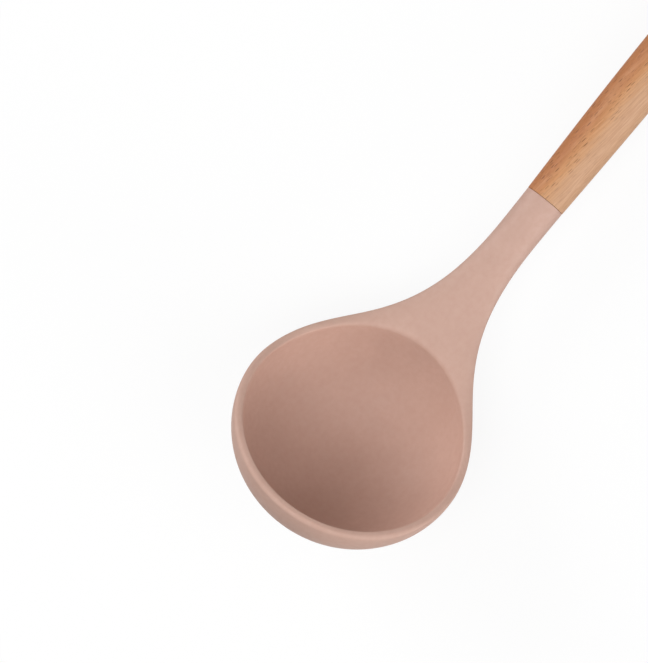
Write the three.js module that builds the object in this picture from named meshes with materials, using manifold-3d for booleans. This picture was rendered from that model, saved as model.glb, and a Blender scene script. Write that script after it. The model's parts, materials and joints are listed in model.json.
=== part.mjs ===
// Soup ladle: a silicone head moulded over a pressed steel core, and a turned beech handle glued on its tang.
// Millimetres, +Z up. The ladle lies on z = 0 on its bowl and the end of its handle, +X from bowl to handle.
import * as THREE from 'three';
import { mergeVertices } from 'three/addons/utils/BufferGeometryUtils.js';
import Module from 'manifold-3d';

// Bowl, measured from the middle of its rim with the front of the rim level
const BOWL_RADIUS = 45;
const BOWL_DEPTH = 38.4;
const BOWL_WALL = 3.3;
const RIM_INNER_ROUNDING = 1.2;
const RIM_OUTER_ROUNDING = 1.6;

// Rim line in side view: level at the front, then a parabola that ends at the neck's slope behind the bowl
const RIM_SWEEP_LENGTH = 37.5;
const NECK_ANGLE = THREE.MathUtils.degToRad(32.6);

// Neck, along its axis from the back of the bowl to the collar
const NECK_LENGTH = 69.2;
const NECK_AXIS_DEPTH = 4.7;
const COLLAR_RADIUS = 8.1;
const WAIST_RADIUS = 7.95;
const WAIST_TO_COLLAR = 16.2;
const CROWN_TO_COLLAR = 35;

// Flare in plan: a curve that leaves the bowl's circle at an angle from the neck and runs out at the waist
const FLARE_ANGLE = THREE.MathUtils.degToRad(66);
const FLARE_BOWL_REACH = 25.7;
const FLARE_NECK_REACH = 44.2;

// Underside of the neck in side view: it leaves the bowl at the heel and follows the axis from the throat
const ROOT_SETBACK = 1;
const HEEL_INSET = 9;
const THROAT_SETBACK = 13;
const THROAT_DEPTH = 5.2;

// Steel core: a pressed dish inside the bowl wall, and a tang with a pad welded on the back of the dish
const CORE_THICKNESS = 0.8;
const RIM_COVER = 2;
const PAD_THICKNESS = 2;
const PAD_WIDTH = 14;
const PAD_HEIGHT = 9;
const TANG_RADIUS = 2.5;
const TANG_IN_HANDLE = 52;
const ADHESIVE_THICKNESS = 0.8;
const ADHESIVE_INSET = 2;

// Beech handle
const HANDLE_LENGTH = 165;
const HANDLE_FRONT_RADIUS = 8.15;
const HANDLE_BELLY_RADIUS = 9.45;
const HANDLE_BELLY_FROM_FRONT = 72;
const HANDLE_END_RADIUS = 8.8;
const HANDLE_FRONT_ROUNDING = 0.4;
const HANDLE_END_ROUNDING = 5;
const HANG_HOLE_RADIUS = 4;
const HANG_HOLE_TO_END = 16;

// Clearances: between moulded or glued faces, at the seam between silicone and wood, and past a drilled face
const FIT_GAP = 0.3;
const SEAM_GAP = 0.3;
const DRILL_OVERRUN = 2;

// Facets, and the halvings that a search by bisection takes. The neck's width has an odd number of steps and the
// turned shapes start half a step round, so the lying ladle rests on the middle of a facet at both ends.
const FREE_RIM_STEPS = 36;
const FLARE_STEPS = 8;
const NECK_WIDTH_STEPS = 9;
const NECK_LENGTH_STEPS = 14;
const WALL_STEPS = 9;
const ROUNDING_STEPS = 3;
const LAND_STEPS = 4;
const DISH_TURN_STEPS = 48;
const TURN_STEPS = 40;
const PROFILE_STEPS = 8;
const SEARCH_HALVINGS = 40;

// Finishes
const SILICONE = { color: 0xcda394, roughness: 0.6, metalness: 0 };
const STEEL = { color: 0xb9bbbd, roughness: 0.35, metalness: 1 };
const EPOXY = { color: 0xd8c79a, roughness: 0.3, metalness: 0 };
const BEECH = { color: 0xcf9e78, roughness: 0.5, metalness: 0 };

const QUARTER_TURN = Math.PI / 2;
const { lerp, smoothstep } = THREE.MathUtils;
const wasm = await Module();
wasm.setup();

const innerRadius = BOWL_RADIUS - BOWL_WALL;
const innerDepth = BOWL_DEPTH - BOWL_WALL;
const sweepStart = BOWL_RADIUS - RIM_SWEEP_LENGTH;
const neckSlope = Math.tan(NECK_ANGLE);
const rootX = BOWL_RADIUS + ROOT_SETBACK;
const heelX = BOWL_RADIUS - HEEL_INSET;
const throatX = BOWL_RADIUS + THROAT_SETBACK;
const collarX = BOWL_RADIUS + NECK_LENGTH * Math.cos(NECK_ANGLE);
const waistX = collarX - WAIST_TO_COLLAR * Math.cos(NECK_ANGLE);
const crownX = collarX - CROWN_TO_COLLAR * Math.cos(NECK_ANGLE);
const flareStart = new THREE.Vector2(BOWL_RADIUS, 0).rotateAround(new THREE.Vector2(), FLARE_ANGLE);
const flareHeading = new THREE.Vector2(Math.sin(FLARE_ANGLE), -Math.cos(FLARE_ANGLE));
const flareCurve = new THREE.CubicBezierCurve(
  flareStart,
  flareStart.clone().addScaledVector(flareHeading, FLARE_BOWL_REACH),
  new THREE.Vector2(waistX - FLARE_NECK_REACH, WAIST_RADIUS),
  new THREE.Vector2(waistX, WAIST_RADIUS),
);

// Height of the rim line, and of the neck's straight top beyond the bowl
function rimHeight(x) {
  const swept = THREE.MathUtils.clamp(x - sweepStart, 0, RIM_SWEEP_LENGTH);
  const beyond = Math.max(x - BOWL_RADIUS, 0);
  return neckSlope * (swept * swept / (2 * RIM_SWEEP_LENGTH) + beyond);
}

// Height of the neck's straight axis
function axisHeight(x) {
  return rimHeight(BOWL_RADIUS) - NECK_AXIS_DEPTH + neckSlope * (x - BOWL_RADIUS);
}

// Half width in plan, and the cosine of the outline's heading: bowl circle, flare curve, waist to collar
function planOutline(x) {
  if (x <= flareStart.x) {
    const half = Math.sqrt(Math.max(BOWL_RADIUS * BOWL_RADIUS - x * x, 0));
    return { half, heading: half / BOWL_RADIUS };
  }
  if (x >= waistX) {
    const past = (x - waistX) / (collarX - waistX);
    const rise = COLLAR_RADIUS - WAIST_RADIUS;
    const slope = 2 * rise * past / (collarX - waistX);
    return { half: WAIST_RADIUS + rise * past * past, heading: 1 / Math.hypot(1, slope) };
  }
  let low = 0;
  let high = 1;
  for (let n = 0; n < SEARCH_HALVINGS; n++) {
    const middle = (low + high) / 2;
    if (flareCurve.getPoint(middle).x < x) low = middle;
    else high = middle;
  }
  return { half: flareCurve.getPoint(low).y, heading: flareCurve.getTangent(low).x };
}

// How far the small rounding of the free rim has grown into the full crown of the neck, from 0 to 1
function crown(x) {
  return smoothstep(x, flareStart.x, crownX);
}

// Height from the axis to the top of the neck
function topOffset(x) {
  return lerp(NECK_AXIS_DEPTH, COLLAR_RADIUS, smoothstep(x, rootX, collarX));
}

// Height that the top falls from its crown to its edge
function crownHeight(x) {
  return lerp(RIM_OUTER_ROUNDING, topOffset(x), crown(x));
}

// Fall of the top surface below its crown, near the edge of the plan outline
function crownFall(x, edgeDistance, outline) {
  const width = lerp(RIM_OUTER_ROUNDING, outline.half * outline.heading, crown(x));
  const inward = THREE.MathUtils.clamp(1 - edgeDistance / width, 0, 1);
  return crownHeight(x) * (1 - Math.sqrt(1 - inward * inward));
}

// Top surface of the rim and of the root of the neck at a point of the plan
function topHeight(x, y) {
  const outline = planOutline(x);
  const onFlare = Math.abs(Math.atan2(y, x)) < FLARE_ANGLE;
  const flareDistance = (outline.half - Math.abs(y)) * outline.heading;
  const edgeDistance = onFlare ? flareDistance : BOWL_RADIUS - Math.hypot(x, y);
  return rimHeight(x) - crownFall(x, Math.max(edgeDistance, 0), outline);
}

// Height of the edge that divides the top from the underside
function edgeHeight(x) {
  return rimHeight(x) - crownHeight(x);
}

// Lowest line of the bowl in side view, an ellipse hung from the edge of the free rim
function bowlKeel(x) {
  const share = Math.sqrt(Math.max(1 - (x / BOWL_RADIUS) ** 2, 0));
  return -RIM_OUTER_ROUNDING - (BOWL_DEPTH - RIM_OUTER_ROUNDING) * share;
}

// Lowest line of the head in side view: bowl, smooth heel, throat
function keelHeight(x) {
  if (x <= heelX) return bowlKeel(x);
  const span = throatX - heelX;
  const t = (x - heelX) / span;
  const heelSlope = -(bowlKeel(heelX) + RIM_OUTER_ROUNDING) * heelX / (BOWL_RADIUS ** 2 - heelX ** 2);
  const rise = span * (heelSlope * t * (1 - t) ** 2 - neckSlope * t * t * (1 - t));
  return lerp(bowlKeel(heelX), axisHeight(throatX) - THROAT_DEPTH, t * t * (3 - 2 * t)) + rise;
}

// Outside of the bowl and of the root of the neck: half ellipses hung from the edge
function hullHeight(x, y) {
  const half = Math.max(planOutline(x).half, Number.EPSILON);
  const share = Math.sqrt(Math.max(1 - (y / half) ** 2, 0));
  return lerp(edgeHeight(x), keelHeight(x), share);
}

// Depth from the axis to the underside of the neck
function keelOffset(x) {
  if (x <= throatX) return axisHeight(x) - keelHeight(x);
  return lerp(THROAT_DEPTH, COLLAR_RADIUS, smoothstep(x, throatX, collarX));
}

// Plan directions of the head's grid, turning once round the bowl from one side of the neck to the other
function planDirections() {
  const rootHalf = planOutline(rootX).half;
  const corner = Math.atan2(rootHalf, rootX);
  const directions = [];
  for (let j = 0; j < NECK_WIDTH_STEPS; j++) {
    const across = Math.sin(lerp(-QUARTER_TURN, QUARTER_TURN, j / NECK_WIDTH_STEPS));
    directions.push({ angle: Math.atan2(across * rootHalf, rootX), onNeck: true });
  }
  for (let j = 0; j < FLARE_STEPS; j++) {
    directions.push({ angle: lerp(corner, FLARE_ANGLE, j / FLARE_STEPS), onNeck: false });
  }
  for (let j = 0; j < FREE_RIM_STEPS; j++) {
    const angle = lerp(FLARE_ANGLE, 2 * Math.PI - FLARE_ANGLE, j / FREE_RIM_STEPS);
    directions.push({ angle, onNeck: false });
  }
  for (let j = 0; j < FLARE_STEPS; j++) {
    const angle = 2 * Math.PI - lerp(FLARE_ANGLE, corner, j / FLARE_STEPS);
    directions.push({ angle, onNeck: false });
  }
  return directions;
}

// Distance from the bowl's middle to the plan outline, or to the root of the neck
function planReach({ angle, onNeck }) {
  if (onNeck) return rootX / Math.cos(angle);
  if (Math.abs(Math.sin(angle / 2)) >= Math.sin(FLARE_ANGLE / 2)) return BOWL_RADIUS;
  const slope = Math.abs(Math.tan(angle));
  let low = flareStart.x;
  let high = rootX;
  for (let n = 0; n < SEARCH_HALVINGS; n++) {
    const middle = (low + high) / 2;
    if (planOutline(middle).half > slope * middle) low = middle;
    else high = middle;
  }
  return low * Math.hypot(1, slope);
}

function polar(angle, distance, height) {
  const x = distance * Math.cos(angle);
  const y = distance * Math.sin(angle);
  return new THREE.Vector3(x, y, height(x, y));
}

// Point of the head along a plan direction, at a share of its reach: the edge itself where the outline is met
function headPoint(direction, distance, share, height) {
  const atEdge = share === 1 && !direction.onNeck;
  return polar(direction.angle, distance, atEdge ? edgeHeight : height);
}

// Triangles over rows of points, whose columns close round the shape
function addGrid(triangles, rows) {
  for (let i = 0; i + 1 < rows.length; i++) {
    const [near, far] = [rows[i], rows[i + 1]];
    near.forEach((point, j) => {
      const next = (j + 1) % near.length;
      triangles.push(point, far[next], near[next]);
      triangles.push(point, far[j], far[next]);
    });
  }
}

// One welded geometry without the empty triangles at poles and seams
function weld(geometry) {
  const bare = geometry.clone();
  bare.deleteAttribute('normal');
  bare.deleteAttribute('uv');
  const merged = mergeVertices(bare);
  const index = [];
  for (let n = 0; n < merged.index.count; n += 3) {
    const corners = [0, 1, 2].map((k) => merged.index.getX(n + k));
    if (new Set(corners).size === 3) index.push(...corners);
  }
  merged.setIndex(index);
  return merged;
}

function solidOf(geometry) {
  const welded = weld(geometry);
  return new wasm.Manifold(new wasm.Mesh({
    numProp: 3,
    vertProperties: welded.attributes.position.array,
    triVerts: new Uint32Array(welded.index.array),
  }));
}

function solidOfTriangles(triangles) {
  return solidOf(new THREE.BufferGeometry().setFromPoints(triangles));
}

function geometryOf(solid) {
  const mesh = solid.getMesh();
  const geometry = new THREE.BufferGeometry();
  geometry.setAttribute('position', new THREE.BufferAttribute(mesh.vertProperties, 3));
  geometry.setIndex(new THREE.BufferAttribute(mesh.triVerts, 1));
  return geometry;
}

// Inside of the bowl, rounded rim and land, out to the edge or to the root of the neck
function topRows(directions) {
  const landStart = innerRadius + RIM_INNER_ROUNDING;
  const rims = directions.map(({ angle }) => polar(angle, landStart, topHeight).z - RIM_INNER_ROUNDING);
  const rows = [];
  for (let i = 0; i <= WALL_STEPS; i++) {
    const turn = QUARTER_TURN * i / WALL_STEPS;
    const distance = innerRadius * Math.sin(turn);
    rows.push(directions.map(({ angle }, j) => (
      polar(angle, distance, () => lerp(rims[j], -innerDepth, Math.cos(turn))))));
  }
  for (let i = 1; i <= ROUNDING_STEPS; i++) {
    const turn = QUARTER_TURN * i / ROUNDING_STEPS;
    const distance = landStart - RIM_INNER_ROUNDING * Math.cos(turn);
    rows.push(directions.map(({ angle }, j) => (
      polar(angle, distance, () => rims[j] + RIM_INNER_ROUNDING * Math.sin(turn)))));
  }
  for (let i = 1; i <= LAND_STEPS; i++) {
    const share = Math.sin(QUARTER_TURN * i / LAND_STEPS);
    rows.push(directions.map((direction) => (
      headPoint(direction, lerp(landStart, planReach(direction), share), share, topHeight))));
  }
  return rows;
}

// Outside of the bowl, from the edge or the root of the neck down to the keel
function hullRows(directions) {
  const rows = [];
  for (let i = WALL_STEPS; i >= 0; i--) {
    const share = Math.sin(QUARTER_TURN * i / WALL_STEPS);
    rows.push(directions.map((direction) => (
      headPoint(direction, planReach(direction) * share, share, hullHeight))));
  }
  return rows;
}

// Closed sections of the neck, upright at the root and square to the axis at the collar
function neckRows() {
  const rows = [];
  for (let i = 0; i <= NECK_LENGTH_STEPS; i++) {
    const x = lerp(rootX, collarX, i / NECK_LENGTH_STEPS);
    const outline = planOutline(x);
    const lean = NECK_ANGLE * smoothstep(x, throatX, collarX);
    const edge = topOffset(x) - crownHeight(x);
    const at = (y, offset) => new THREE.Vector3(
      x - offset * Math.sin(lean), y, axisHeight(x) + offset * Math.cos(lean));
    const top = [];
    const bottom = [];
    for (let j = 0; j <= NECK_WIDTH_STEPS; j++) {
      const across = Math.sin(lerp(-QUARTER_TURN, QUARTER_TURN, j / NECK_WIDTH_STEPS));
      const y = across * outline.half;
      const edgeDistance = (outline.half - Math.abs(y)) * outline.heading;
      top.push(at(y, topOffset(x) - crownFall(x, edgeDistance, outline)));
      bottom.push(at(y, lerp(edge, -keelOffset(x), Math.sqrt(1 - across * across))));
    }
    rows.push([...top, ...bottom.slice(1, -1).reverse()]);
  }
  const end = rows.at(-1);
  rows.push(end.map(() => new THREE.Vector3(collarX, 0, axisHeight(collarX))));
  return rows;
}

// Shell inside the bowl wall, between two offsets from the inside of the bowl and a cover below the rim line
function bowlShell(nearOffset, farOffset, cover) {
  const angles = Array.from({ length: DISH_TURN_STEPS }, (_, j) => 2 * Math.PI * j / DISH_TURN_STEPS);
  const skinRow = (offset, turn) => angles.map((angle) => {
    const radius = innerRadius + offset;
    const top = rimHeight(radius * Math.cos(angle)) - cover;
    return polar(angle, radius * Math.sin(turn), () => lerp(top, -innerDepth - offset, Math.cos(turn)));
  });
  const turns = Array.from({ length: WALL_STEPS + 1 }, (_, i) => QUARTER_TURN * i / WALL_STEPS);
  const nearRows = turns.map((turn) => skinRow(nearOffset, turn));
  const farRows = turns.map((turn) => skinRow(farOffset, turn)).reverse();
  const triangles = [];
  addGrid(triangles, [...nearRows, ...farRows]);
  return solidOfTriangles(triangles);
}

// Round bar along the neck's axis, between two distances from the back of the bowl
function axisBar(radius, start, end) {
  const bar = new THREE.CylinderGeometry(radius, radius, end - start, TURN_STEPS);
  bar.rotateZ(-QUARTER_TURN);
  bar.translate((start + end) / 2, 0, 0);
  bar.rotateY(-NECK_ANGLE);
  bar.translate(BOWL_RADIUS, 0, axisHeight(BOWL_RADIUS));
  return solidOf(bar);
}

// Curved pad on the back of the dish, grown by a clearance on its sides and outer face
function weldPad(nearOffset, clearance) {
  const cover = RIM_COVER + FIT_GAP - clearance;
  const padTop = rimHeight(BOWL_RADIUS) - RIM_COVER - FIT_GAP;
  const shell = bowlShell(nearOffset, dishOuter + FIT_GAP + PAD_THICKNESS + clearance, cover);
  const box = new THREE.BoxGeometry(BOWL_RADIUS, PAD_WIDTH + 2 * clearance, 2 * (PAD_HEIGHT + clearance));
  box.translate(BOWL_RADIUS, 0, padTop);
  return shell.intersect(solidOf(box));
}

// Core within the bowl wall, as offsets from the inside of the bowl, and the tang along the neck's axis
const skin = (BOWL_WALL - CORE_THICKNESS) / 2 - FIT_GAP;
const dishInner = skin + FIT_GAP;
const dishOuter = dishInner + CORE_THICKNESS;
const padX = innerRadius + dishOuter + FIT_GAP;
const tangStart = (padX - BOWL_RADIUS) / Math.cos(NECK_ANGLE) + TANG_RADIUS * neckSlope;
const tangEnd = NECK_LENGTH + SEAM_GAP + TANG_IN_HANDLE;

// Silicone head: bowl skin, rim and neck in one moulding, with the pocket that the core fills
function siliconeHead() {
  const directions = planDirections();
  const triangles = [];
  addGrid(triangles, topRows(directions));
  addGrid(triangles, hullRows(directions));
  addGrid(triangles, neckRows());
  const pocket = bowlShell(skin, dishOuter + FIT_GAP, RIM_COVER)
    .add(weldPad(dishOuter, FIT_GAP))
    .add(axisBar(TANG_RADIUS + FIT_GAP, tangStart - FIT_GAP, tangEnd));
  return geometryOf(solidOfTriangles(triangles).subtract(pocket));
}

// Pressed steel dish inside the bowl wall
function bowlCore() {
  return geometryOf(bowlShell(dishInner, dishOuter, RIM_COVER + FIT_GAP));
}

// Steel rod from the back of the dish into the handle, with its pad
function tang() {
  return geometryOf(weldPad(dishOuter + FIT_GAP, 0).add(axisBar(TANG_RADIUS, tangStart, tangEnd)));
}

// Turned shape with its axis along +X
function turned(points) {
  const profile = points.map(([along, radius]) => new THREE.Vector2(radius, along));
  const geometry = new THREE.LatheGeometry(profile, TURN_STEPS, Math.PI / TURN_STEPS);
  geometry.rotateZ(-QUARTER_TURN);
  return geometry;
}

// Adhesive sleeve round the tang, and the bore of the handle round the sleeve
const sleeveInner = TANG_RADIUS + FIT_GAP;
const sleeveOuter = sleeveInner + ADHESIVE_THICKNESS;
const boreRadius = sleeveOuter + FIT_GAP;
const boreDepth = TANG_IN_HANDLE + FIT_GAP;

function tangAdhesive() {
  return weld(turned([
    [ADHESIVE_INSET, sleeveInner],
    [ADHESIVE_INSET, sleeveOuter],
    [TANG_IN_HANDLE, sleeveOuter],
    [TANG_IN_HANDLE, sleeveInner],
    [ADHESIVE_INSET, sleeveInner],
  ]));
}

// Radius of the handle along its length: a quick swell from the collar, a long belly, a gentle taper
function handleRadius(along) {
  if (along < HANDLE_BELLY_FROM_FRONT) {
    const swell = Math.sin(QUARTER_TURN * along / HANDLE_BELLY_FROM_FRONT);
    return lerp(HANDLE_FRONT_RADIUS, HANDLE_BELLY_RADIUS, swell);
  }
  const past = (along - HANDLE_BELLY_FROM_FRONT) / (HANDLE_LENGTH - HANDLE_BELLY_FROM_FRONT);
  return lerp(HANDLE_BELLY_RADIUS, HANDLE_END_RADIUS, 1 - Math.cos(QUARTER_TURN * past));
}

function handleProfile() {
  const endStart = HANDLE_LENGTH - HANDLE_END_ROUNDING;
  const endFlat = handleRadius(endStart) - HANDLE_END_ROUNDING;
  const points = [
    [boreDepth, 0],
    [boreDepth, boreRadius],
    [0, boreRadius],
    [0, HANDLE_FRONT_RADIUS - HANDLE_FRONT_ROUNDING],
  ];
  for (let i = 0; i < PROFILE_STEPS; i++) {
    const along = lerp(HANDLE_FRONT_ROUNDING, HANDLE_BELLY_FROM_FRONT, i / PROFILE_STEPS);
    points.push([along, handleRadius(along)]);
  }
  for (let i = 0; i < PROFILE_STEPS; i++) {
    const along = lerp(HANDLE_BELLY_FROM_FRONT, endStart, i / PROFILE_STEPS);
    points.push([along, handleRadius(along)]);
  }
  for (let i = 0; i <= PROFILE_STEPS; i++) {
    const turn = QUARTER_TURN * i / PROFILE_STEPS;
    const along = endStart + HANDLE_END_ROUNDING * Math.sin(turn);
    points.push([along, endFlat + HANDLE_END_ROUNDING * Math.cos(turn)]);
  }
  points.push([HANDLE_LENGTH, 0]);
  return points;
}

// Beech handle, with the blind bore that takes the tang and a hanging hole through its far end
function beechHandle() {
  const drilled = 2 * (HANDLE_BELLY_RADIUS + DRILL_OVERRUN);
  const hole = new THREE.CylinderGeometry(HANG_HOLE_RADIUS, HANG_HOLE_RADIUS, drilled, TURN_STEPS);
  hole.rotateX(QUARTER_TURN);
  hole.translate(HANDLE_LENGTH - HANG_HOLE_TO_END, 0, 0);
  return geometryOf(solidOf(turned(handleProfile())).subtract(solidOf(hole)));
}

function piece(name, geometry, finish) {
  const mesh = new THREE.Mesh(geometry, new THREE.MeshStandardMaterial(finish));
  mesh.name = name;
  return mesh;
}

// Lowest point of a piece once the ladle is tipped back by an angle
function lowest(ladle, mesh, tilt) {
  ladle.rotation.y = tilt;
  ladle.updateMatrixWorld(true);
  return new THREE.Box3().setFromObject(mesh, true).min.z;
}

// Tilt at which the bowl and the end of the handle touch the table together
function restingTilt(ladle, head, handle) {
  let low = 0;
  let high = QUARTER_TURN;
  for (let n = 0; n < SEARCH_HALVINGS; n++) {
    const middle = (low + high) / 2;
    if (lowest(ladle, handle, middle) > lowest(ladle, head, middle)) low = middle;
    else high = middle;
  }
  return low;
}

const head = piece('silicone_head', siliconeHead(), SILICONE);
const handle = piece('beech_handle', beechHandle(), BEECH);

const grip = new THREE.Group();
grip.add(handle, piece('tang_adhesive', tangAdhesive(), EPOXY));
grip.rotation.y = -NECK_ANGLE;
grip.position.set(collarX, 0, axisHeight(collarX));
grip.translateX(SEAM_GAP);

const ladle = new THREE.Group();
ladle.add(head, piece('bowl_core', bowlCore(), STEEL), piece('tang', tang(), STEEL), grip);
ladle.rotation.y = restingTilt(ladle, head, handle);
ladle.updateMatrixWorld(true);

// The origin is under the middle of the lying ladle
const extent = new THREE.Box3().setFromObject(ladle, true);
ladle.position.set(-(extent.min.x + extent.max.x) / 2, 0, -extent.min.z);

const soupLadle = new THREE.Group();
soupLadle.add(ladle);

export default soupLadle;
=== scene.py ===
# %% [markdown]
# # A soup ladle in silicone and beech
#
# Two pieces of this ladle meet the eye: a matt silicone moulding that makes the bowl and the neck, and
# a turned beech handle. A steel dish, its tang and the glue round it are hidden inside. The lesson
# takes the solid pieces of the ladle as a fixed frame, in metres, and dresses them. The two pieces
# that show are made again as fine surfaces, and the hidden ones only get a finish.

# %% Load the frame
import json
import math

import bmesh
import bpy
import numpy as np
from mathutils import Matrix, Vector


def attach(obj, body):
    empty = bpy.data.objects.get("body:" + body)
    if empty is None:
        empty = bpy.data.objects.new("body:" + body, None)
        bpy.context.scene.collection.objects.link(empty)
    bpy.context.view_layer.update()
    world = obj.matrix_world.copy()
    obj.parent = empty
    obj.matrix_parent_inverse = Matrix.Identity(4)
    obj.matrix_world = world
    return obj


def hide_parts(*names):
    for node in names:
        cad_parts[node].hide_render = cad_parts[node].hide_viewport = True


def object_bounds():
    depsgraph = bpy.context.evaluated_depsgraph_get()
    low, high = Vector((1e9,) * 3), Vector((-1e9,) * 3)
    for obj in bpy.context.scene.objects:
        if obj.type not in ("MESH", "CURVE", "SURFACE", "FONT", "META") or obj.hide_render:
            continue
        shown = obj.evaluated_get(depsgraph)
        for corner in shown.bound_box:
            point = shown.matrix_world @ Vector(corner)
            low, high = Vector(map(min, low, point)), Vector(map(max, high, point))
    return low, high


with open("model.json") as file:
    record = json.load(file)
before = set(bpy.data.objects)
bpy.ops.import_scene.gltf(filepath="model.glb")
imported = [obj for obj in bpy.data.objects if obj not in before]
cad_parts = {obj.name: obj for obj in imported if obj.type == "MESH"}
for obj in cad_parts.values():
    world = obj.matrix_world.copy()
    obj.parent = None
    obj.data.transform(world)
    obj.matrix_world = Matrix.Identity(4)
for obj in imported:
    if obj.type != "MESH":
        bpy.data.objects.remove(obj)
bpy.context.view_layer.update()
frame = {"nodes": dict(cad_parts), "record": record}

MM = 0.001
print("frame pieces:", ", ".join(sorted(frame["nodes"])))

# %% [markdown]
# ## Sizes
#
# All sizes are in millimetres, because that is how a maker would read them off a drawing. They belong
# to the ladle's own frame: its origin is the middle of the bowl's rim, x runs towards the neck and z
# stands on the rim.

# %% Driving sizes in millimetres
BOWL_RADIUS = 45.0
BOWL_DEPTH = 38.4
BOWL_WALL = 3.3
RIM_INNER_ROUNDING = 1.2
NECK_INNER_ROUNDING = 1.8
RIM_OUTER_ROUNDING = 1.6
RIM_SWEEP_LENGTH = 37.5
NECK_ANGLE = math.radians(32.6)
NECK_LENGTH = 69.2
NECK_AXIS_DEPTH = 4.7
COLLAR_RADIUS = 8.1
COLLAR_ROUNDING = 0.1
COLLAR_REACH = 0.2
WAIST_RADIUS = 7.95
WAIST_TO_COLLAR = 16.2
CROWN_TO_COLLAR = 35.0
FLARE_ANGLE = math.radians(66)
FLARE_BOWL_REACH = 25.7
FLARE_NECK_REACH = 44.2
ROOT_SETBACK = 1.0
HEEL_INSET = 9.0
THROAT_SETBACK = 13.0
THROAT_DEPTH = 5.2
SEAM_GAP = 0.3
FIT_GAP = 0.3
HANDLE_LENGTH = 165.0

collar_x = BOWL_RADIUS + NECK_LENGTH * math.cos(NECK_ANGLE)
waist_x = collar_x - WAIST_TO_COLLAR * math.cos(NECK_ANGLE)
crown_x = collar_x - CROWN_TO_COLLAR * math.cos(NECK_ANGLE)
root_x = BOWL_RADIUS + ROOT_SETBACK
heel_x = BOWL_RADIUS - HEEL_INSET
throat_x = BOWL_RADIUS + THROAT_SETBACK
neck_slope = math.tan(NECK_ANGLE)
quarter = math.pi / 2
print(f"neck from {root_x:.1f} to {collar_x:.1f} mm, its waist at {waist_x:.1f} mm")

# %% [markdown]
# ## From the ladle's own frame to the lying ladle
#
# The ladle lies on its bowl and the end of its handle, so its own frame is tipped back. The tip and
# the place needn't be guessed: the frame's record holds the middle of the handle's flat end and the way
# it faces, and the same point is known in the ladle's own frame.

# %% Place of the lying ladle


def rim_height(x):
    """Rim line: level at the front, a parabola over the sweep, then the neck's straight slope."""
    swept = np.clip(x - BOWL_RADIUS + RIM_SWEEP_LENGTH, 0, RIM_SWEEP_LENGTH)
    beyond = np.maximum(x - BOWL_RADIUS, 0)
    return neck_slope * (swept ** 2 / (2 * RIM_SWEEP_LENGTH) + beyond)


def axis_height(x):
    """The neck's straight axis, which runs below the neck's top at the back of the bowl."""
    return rim_height(BOWL_RADIUS) - NECK_AXIS_DEPTH + neck_slope * (x - BOWL_RADIUS)


handle_way = np.array([math.cos(NECK_ANGLE), 0, math.sin(NECK_ANGLE)])
collar_point = np.array([collar_x, 0, axis_height(collar_x)])
handle_start = collar_point + SEAM_GAP * handle_way
handle_end = handle_start + HANDLE_LENGTH * handle_way

butt = next(mount for mount in frame["record"]["mounts"] if mount["name"] == "handle_butt")
tip = NECK_ANGLE + math.atan2(-butt["axis"][2], butt["axis"][0])
turn_back = np.array(Matrix.Rotation(tip, 3, "Y"))
place = np.array(butt["pos_m"]) - MM * turn_back @ handle_end


def lying(points):
    """Points of the ladle's own frame, in millimetres, turned and moved to the lying ladle, in metres."""
    return MM * points @ turn_back.T + place


print(f"ladle tipped back by {math.degrees(tip):.2f} degrees")

# %% [markdown]
# ## The silicone head
#
# On the real ladle the bowl, its rim and the neck are one moulding without an edge between them.
# Subdivision modelling could give that flow, but the rim line, the flare and the heel are then hard to
# hold to size. Here the head is three grids of points from formulas. A fan spreads from the middle of
# the bowl, up its inside and over the rim. A second fan runs down the outside. A tube carries on along
# the neck.
#
# Seen from above, the outline is a circle that leaves for the neck along a smooth curve, draws in to a
# waist and opens a little at the collar.

# %% Outline of the head seen from above
CURVE_STEPS = 4000

flare_start = BOWL_RADIUS * np.array([math.cos(FLARE_ANGLE), math.sin(FLARE_ANGLE)])
flare_heading = np.array([math.sin(FLARE_ANGLE), -math.cos(FLARE_ANGLE)])
flare_controls = np.array([
    flare_start,
    flare_start + FLARE_BOWL_REACH * flare_heading,
    [waist_x - FLARE_NECK_REACH, WAIST_RADIUS],
    [waist_x, WAIST_RADIUS],
])
t = np.linspace(0, 1, CURVE_STEPS)[:, None]
bezier_weights = np.hstack([(1 - t) ** 3, 3 * t * (1 - t) ** 2, 3 * t ** 2 * (1 - t), t ** 3])
flare_curve = bezier_weights @ flare_controls
flare_way = np.gradient(flare_curve, axis=0)
flare_cosine = flare_way[:, 0] / np.hypot(*flare_way.T)


def outline(x):
    """Half width at x and the cosine of its heading: circle, flare curve, then waist to collar."""
    circle = np.sqrt(np.maximum(BOWL_RADIUS ** 2 - x ** 2, 0))
    past = (x - waist_x) / (collar_x - waist_x)
    rise = COLLAR_RADIUS - WAIST_RADIUS
    neck_half = WAIST_RADIUS + rise * past ** 2
    neck_cosine = 1 / np.hypot(1, 2 * rise * past / (collar_x - waist_x))
    flare_half = np.interp(x, *flare_curve.T)
    where = [x <= flare_start[0], x >= waist_x]
    half = np.select(where, [circle, neck_half], flare_half)
    flare_turn = np.interp(x, flare_curve[:, 0], flare_cosine)
    cosine = np.select(where, [circle / BOWL_RADIUS, neck_cosine], flare_turn)
    return half, cosine


root_half = float(outline(np.array(root_x))[0])
print(f"half width of the neck's root: {root_half:.1f} mm")

# %% [markdown]
# ### Top of the head
#
# The rim is a narrow land with a small rounding at its outer edge. Along the flare that rounding grows
# until it is the whole round top of the neck. So one formula gives both: a quarter ellipse from the
# edge inwards, whose size is blended from the rim's to the neck's.

# %% Top of the head


def mix(a, b, share):
    """Straight blend from a to b."""
    return a + (b - a) * share


def ease(x, low, high):
    """Smooth step from 0 at low to 1 at high."""
    t = np.clip((x - low) / (high - low), 0, 1)
    return t * t * (3 - 2 * t)


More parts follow.
